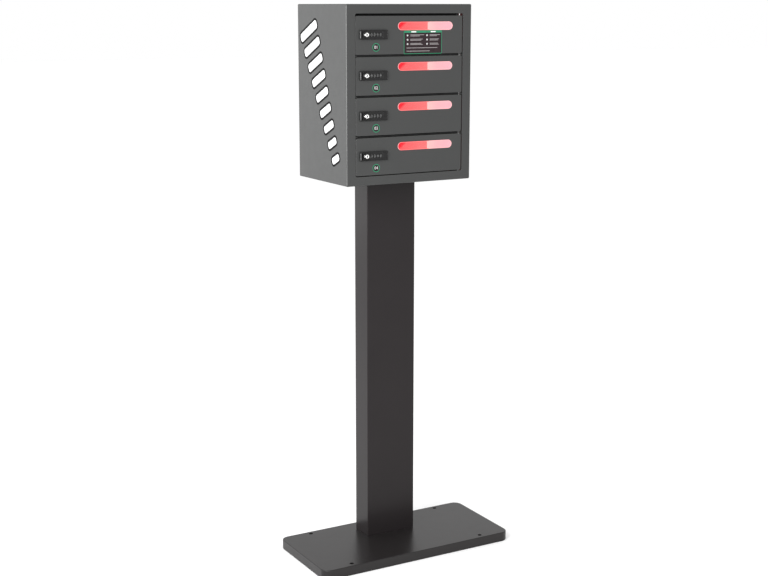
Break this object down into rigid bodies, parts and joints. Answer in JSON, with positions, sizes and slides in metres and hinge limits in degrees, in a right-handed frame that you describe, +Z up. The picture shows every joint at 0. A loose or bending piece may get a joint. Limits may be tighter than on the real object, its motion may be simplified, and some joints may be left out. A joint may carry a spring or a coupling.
{
  "type": "phone charging locker on a pedestal",
  "caption": "Sheet-steel phone charging locker with hinged doors, combination locks and lit slot windows, on a column and a flat base.",
  "frame": {"origin": "centre of the base's underside, on the floor", "axes": "+X to the right as one faces the doors, +Y to the back, +Z up; the doors face -Y"},
  "size_m": [0.507, 0.2967, 1.2871],
  "materials": {
    "powder_coat": "fine satin powder coat",
    "stand_coat": "fine satin powder coat, darker",
    "steel": "bright zinc plate",
    "plate_steel": "matt black primer",
    "lock_black": "black enamel",
    "dial_black": "moulded, with light numbers",
    "key_chrome": "polished key cylinder",
    "window": "tinted acrylic",
    "light": "lit diffuser",
    "module": "fine moulded texture",
    "supply": "plain sheet",
    "board": "solder mask",
    "print_film": "printed film",
    "washer_nylon": "black nylon",
    "grommet_rubber": "soft black rubber"
  },
  "bodies": {
    "post": {"back_panel": "powder_coat", "base_cover": "stand_coat", "base_plate": "plate_steel", "cabinet_shell": "powder_coat", "column": "stand_coat", "column_foot_flange": "plate_steel", "column_top_plate": "plate_steel", "control_board": "board", "hinge_rod": "steel", "inner_rear_wall": "powder_coat", "led_strip_1": "light", "led_strip_2": "light", "led_strip_3": "light", "led_strip_4": "light", "mains_inlet": "module", "power_supply": "supply", "shelf_1": "powder_coat", "shelf_2": "powder_coat", "shelf_3": "powder_coat", "usb_module_1": "module", "usb_module_2": "module", "usb_module_3": "module", "usb_module_4": "module"},
    "door_1": {"door_1": "powder_coat", "window_pane_1": "window", "lock_housing_1": "lock_black"},
    "knob_1": {"lock_knob_1": "lock_black", "lock_cam_1": "steel"},
    "dial_1_1": {"dial_1_1": "dial_black"},
    "dial_1_2": {"dial_1_2": "dial_black"},
    "dial_1_3": {"dial_1_3": "dial_black"},
    "dial_1_4": {"dial_1_4": "dial_black"},
    "door_2": {"door_2": "powder_coat", "window_pane_2": "window", "lock_housing_2": "lock_black"},
    "knob_2": {"lock_knob_2": "lock_black", "lock_cam_2": "steel"},
    "dial_2_1": {"dial_2_1": "dial_black"},
    "dial_2_2": {"dial_2_2": "dial_black"},
    "dial_2_3": {"dial_2_3": "dial_black"},
    "dial_2_4": {"dial_2_4": "dial_black"},
    "door_3": {"door_3": "powder_coat", "window_pane_3": "window", "lock_housing_3": "lock_black"},
    "knob_3": {"lock_knob_3": "lock_black", "lock_cam_3": "steel"},
    "dial_3_1": {"dial_3_1": "dial_black"},
    "dial_3_2": {"dial_3_2": "dial_black"},
    "dial_3_3": {"dial_3_3": "dial_black"},
    "dial_3_4": {"dial_3_4": "dial_black"},
    "door_4": {"door_4": "powder_coat", "window_pane_4": "window", "lock_housing_4": "lock_black"},
    "knob_4": {"lock_knob_4": "lock_black", "lock_cam_4": "steel"},
    "dial_4_1": {"dial_4_1": "dial_black"},
    "dial_4_2": {"dial_4_2": "dial_black"},
    "dial_4_3": {"dial_4_3": "dial_black"},
    "dial_4_4": {"dial_4_4": "dial_black"}
  },
  "joints": [
    {"name": "door_1_hinge", "type": "hinge", "parent": "post", "child": "door_1", "pos_m": [0.1319, -0.05875, 1.21975], "axis": [0, 0, 1], "range_deg": [0, 110]},
    {"name": "lock_knob_1_turn", "type": "hinge", "parent": "door_1", "child": "knob_1", "pos_m": [-0.113, -0.06675, 1.2212], "axis": [0, 1, 0], "range_deg": [0, 90]},
    {"name": "dial_1_1_spin", "type": "hinge", "parent": "door_1", "child": "dial_1_1", "pos_m": [-0.1, -0.06115, 1.2212], "axis": [1, 0, 0], "continuous": true},
    {"name": "dial_1_2_spin", "type": "hinge", "parent": "door_1", "child": "dial_1_2", "pos_m": [-0.0925, -0.06115, 1.2212], "axis": [1, 0, 0], "continuous": true},
    {"name": "dial_1_3_spin", "type": "hinge", "parent": "door_1", "child": "dial_1_3", "pos_m": [-0.085, -0.06115, 1.2212], "axis": [1, 0, 0], "continuous": true},
    {"name": "dial_1_4_spin", "type": "hinge", "parent": "door_1", "child": "dial_1_4", "pos_m": [-0.0775, -0.06115, 1.2212], "axis": [1, 0, 0], "continuous": true},
    {"name": "door_2_hinge", "type": "hinge", "parent": "post", "child": "door_2", "pos_m": [0.1319, -0.05875, 1.13125], "axis": [0, 0, 1], "range_deg": [0, 110]},
    {"name": "lock_knob_2_turn", "type": "hinge", "parent": "door_2", "child": "knob_2", "pos_m": [-0.113, -0.06675, 1.1327], "axis": [0, 1, 0], "range_deg": [0, 90]},
    {"name": "dial_2_1_spin", "type": "hinge", "parent": "door_2", "child": "dial_2_1", "pos_m": [-0.1, -0.06115, 1.1327], "axis": [1, 0, 0], "continuous": true},
    {"name": "dial_2_2_spin", "type": "hinge", "parent": "door_2", "child": "dial_2_2", "pos_m": [-0.0925, -0.06115, 1.1327], "axis": [1, 0, 0], "continuous": true},
    {"name": "dial_2_3_spin", "type": "hinge", "parent": "door_2", "child": "dial_2_3", "pos_m": [-0.085, -0.06115, 1.1327], "axis": [1, 0, 0], "continuous": true},
    {"name": "dial_2_4_spin", "type": "hinge", "parent": "door_2", "child": "dial_2_4", "pos_m": [-0.0775, -0.06115, 1.1327], "axis": [1, 0, 0], "continuous": true},
    {"name": "door_3_hinge", "type": "hinge", "parent": "post", "child": "door_3", "pos_m": [0.1319, -0.05875, 1.04275], "axis": [0, 0, 1], "range_deg": [0, 110]},
    {"name": "lock_knob_3_turn", "type": "hinge", "parent": "door_3", "child": "knob_3", "pos_m": [-0.113, -0.06675, 1.0442], "axis": [0, 1, 0], "range_deg": [0, 90]},
    {"name": "dial_3_1_spin", "type": "hinge", "parent": "door_3", "child": "dial_3_1", "pos_m": [-0.1, -0.06115, 1.0442], "axis": [1, 0, 0], "continuous": true},
    {"name": "dial_3_2_spin", "type": "hinge", "parent": "door_3", "child": "dial_3_2", "pos_m": [-0.0925, -0.06115, 1.0442], "axis": [1, 0, 0], "continuous": true},
    {"name": "dial_3_3_spin", "type": "hinge", "parent": "door_3", "child": "dial_3_3", "pos_m": [-0.085, -0.06115, 1.0442], "axis": [1, 0, 0], "continuous": true},
    {"name": "dial_3_4_spin", "type": "hinge", "parent": "door_3", "child": "dial_3_4", "pos_m": [-0.0775, -0.06115, 1.0442], "axis": [1, 0, 0], "continuous": true},
    {"name": "door_4_hinge", "type": "hinge", "parent": "post", "child": "door_4", "pos_m": [0.1319, -0.05875, 0.95425], "axis": [0, 0, 1], "range_deg": [0, 110]},
    {"name": "lock_knob_4_turn", "type": "hinge", "parent": "door_4", "child": "knob_4", "pos_m": [-0.113, -0.06675, 0.9557], "axis": [0, 1, 0], "range_deg": [0, 90]},
    {"name": "dial_4_1_spin", "type": "hinge", "parent": "door_4", "child": "dial_4_1", "pos_m": [-0.1, -0.06115, 0.9557], "axis": [1, 0, 0], "continuous": true},
    {"name": "dial_4_2_spin", "type": "hinge", "parent": "door_4", "child": "dial_4_2", "pos_m": [-0.0925, -0.06115, 0.9557], "axis": [1, 0, 0], "continuous": true},
    {"name": "dial_4_3_spin", "type": "hinge", "parent": "door_4", "child": "dial_4_3", "pos_m": [-0.085, -0.06115, 0.9557], "axis": [1, 0, 0], "continuous": true},
    {"name": "dial_4_4_spin", "type": "hinge", "parent": "door_4", "child": "dial_4_4", "pos_m": [-0.0775, -0.06115, 0.9557], "axis": [1, 0, 0], "continuous": true}
  ]
}
